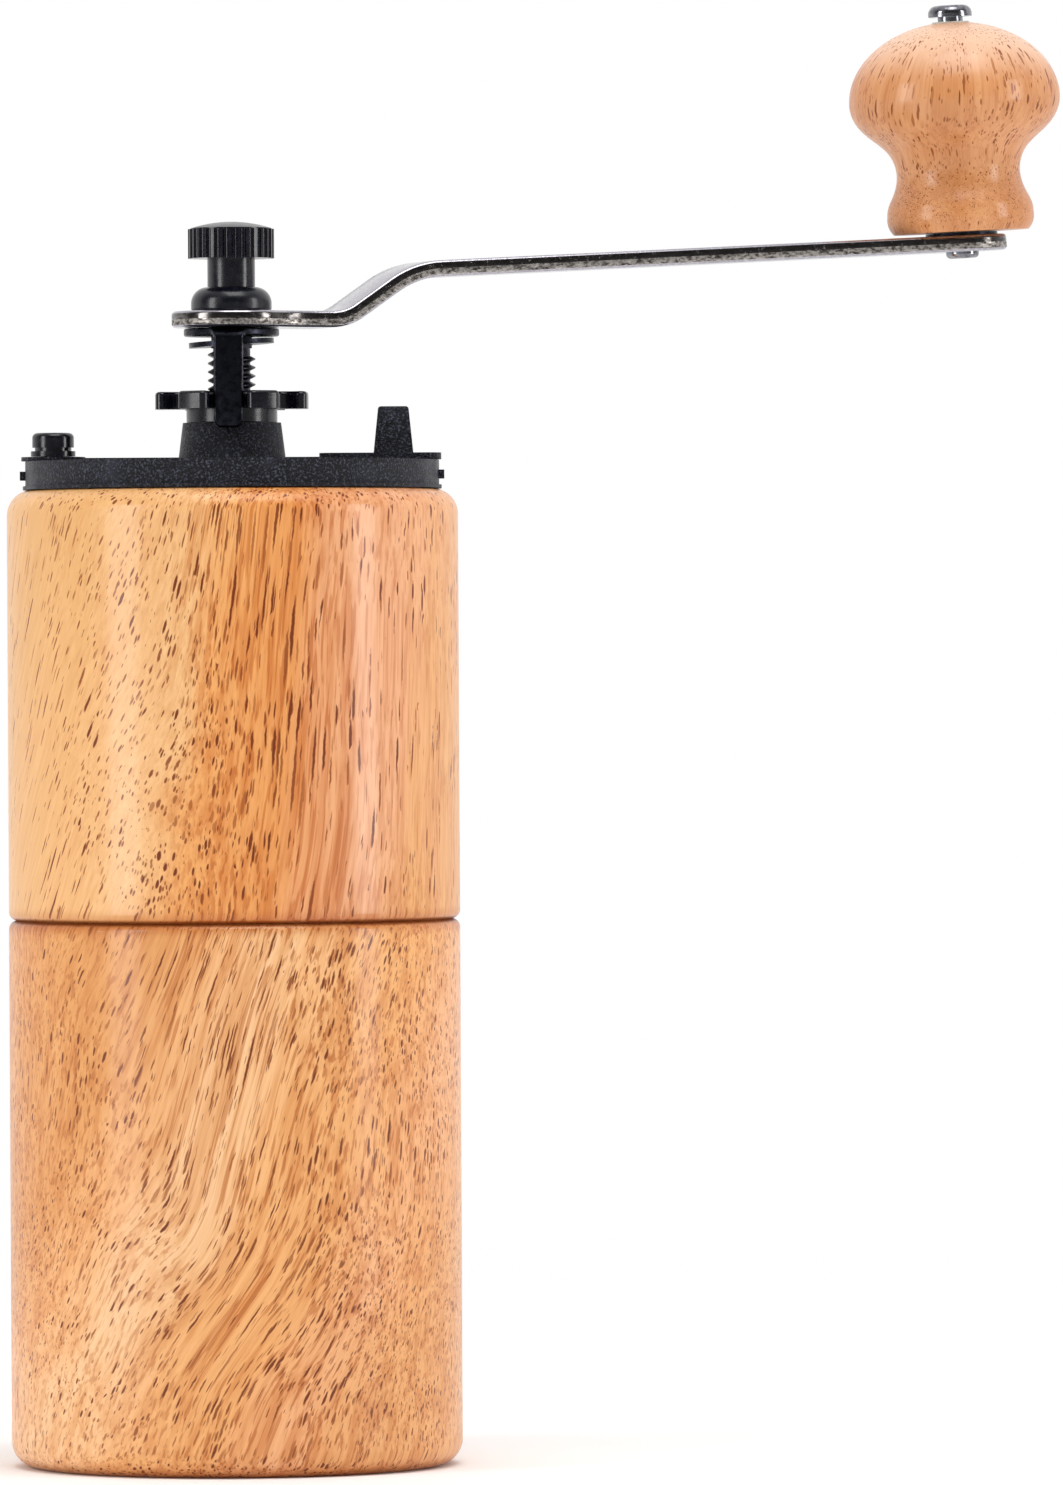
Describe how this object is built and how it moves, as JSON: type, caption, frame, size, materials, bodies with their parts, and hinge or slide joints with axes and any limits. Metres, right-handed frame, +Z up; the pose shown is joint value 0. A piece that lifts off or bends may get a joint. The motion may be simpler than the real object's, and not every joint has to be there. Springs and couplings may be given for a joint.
{
  "type": "burr coffee grinder",
  "caption": "Hand burr coffee grinder: turned wooden body split into hopper and cup, black plastic top frame with swinging lid, star adjusting nut, bent steel crank arm and wooden knob.",
  "frame": {"origin": "centre of the base's underside, on the body's axis", "axes": "+Z up along the body's axis; -X towards the lid's pivot stud, +X towards the lid's finger tab; the crank arm at rest is turned 20 degrees from +X towards +Y"},
  "size_m": [0.1455, 0.0819, 0.2005],
  "materials": {
    "wood_body": "satin",
    "wood_knob": "satin",
    "black_plastic": "matte",
    "black_gloss_plastic": "gloss",
    "dark_carrier_plastic": "satin",
    "rubber_black": "matte",
    "burr_ceramic": "satin",
    "steel_polished": "polished",
    "steel_zinc": "satin",
    "steel_black": "satin",
    "brass": "satin",
    "bush_plastic": "satin"
  },
  "bodies": {
    "cup": {"cup_body": "wood_body"},
    "housing": {"hopper_body": "wood_body", "burr_carrier": "dark_carrier_plastic", "spigot_o_ring": "rubber_black", "outer_burr": "burr_ceramic", "burr_retaining_ring": "dark_carrier_plastic", "retaining_ring_screws": "steel_zinc", "lower_bush": "bush_plastic", "spring_upper_washer": "steel_zinc", "top_frame": "black_plastic", "upper_bush": "bush_plastic", "lid_stud": "black_gloss_plastic"},
    "lid": {"hopper_lid": "black_plastic"},
    "adjuster": {"adjusting_nut": "black_gloss_plastic"},
    "drive": {"drive_shaft": "steel_black", "inner_burr": "burr_ceramic", "burr_core": "dark_carrier_plastic", "burr_washer": "steel_zinc", "burr_screw": "steel_zinc", "spring_lower_washer": "steel_zinc", "burr_spring": "steel_zinc", "spring_washer": "steel_black"},
    "lock": {"lock_plate": "steel_black"},
    "crank": {"crank_arm": "steel_polished", "knob_axle": "steel_polished", "knob_washer": "steel_black"},
    "cap": {"cap_nut": "black_gloss_plastic", "cap_nut_insert": "brass"},
    "knob": {"handle_knob": "wood_knob", "knob_sleeve": "bush_plastic"}
  },
  "joints": [
    {"name": "housing_lift", "type": "slide", "parent": "cup", "child": "housing", "axis": [0, 0, 1], "range_m": [0, 0.03]},
    {"name": "lid_swing", "type": "hinge", "parent": "housing", "child": "lid", "pos_m": [-0.0244, 0, 0.13695], "axis": [0, 0, 1], "range_deg": [0, 110]},
    {"name": "crank_turn", "type": "hinge", "parent": "housing", "child": "adjuster", "pos_m": [0, 0, 0.1463], "axis": [0, 0, 1], "continuous": true},
    {"name": "grind_adjust", "type": "slide", "parent": "adjuster", "child": "drive", "axis": [0, 0, 1], "range_m": [-0.0012, 0.00008], "deforming": ["burr_spring"]},
    {"name": "lock_plate_lift", "type": "slide", "parent": "drive", "child": "lock", "axis": [0, 0, 1], "range_m": [0, 0.014]},
    {"name": "arm_lift", "type": "slide", "parent": "lock", "child": "crank", "axis": [0, 0, 1], "range_m": [0, 0.012]},
    {"name": "cap_nut_lift", "type": "slide", "parent": "crank", "child": "cap", "axis": [0, 0, 1], "range_m": [0, 0.01]},
    {"name": "knob_turn", "type": "hinge", "parent": "crank", "child": "knob", "pos_m": [0.10102, 0.03677, 0.16608], "axis": [-0.0484, -0.0176, 0.9987], "continuous": true}
  ]
}
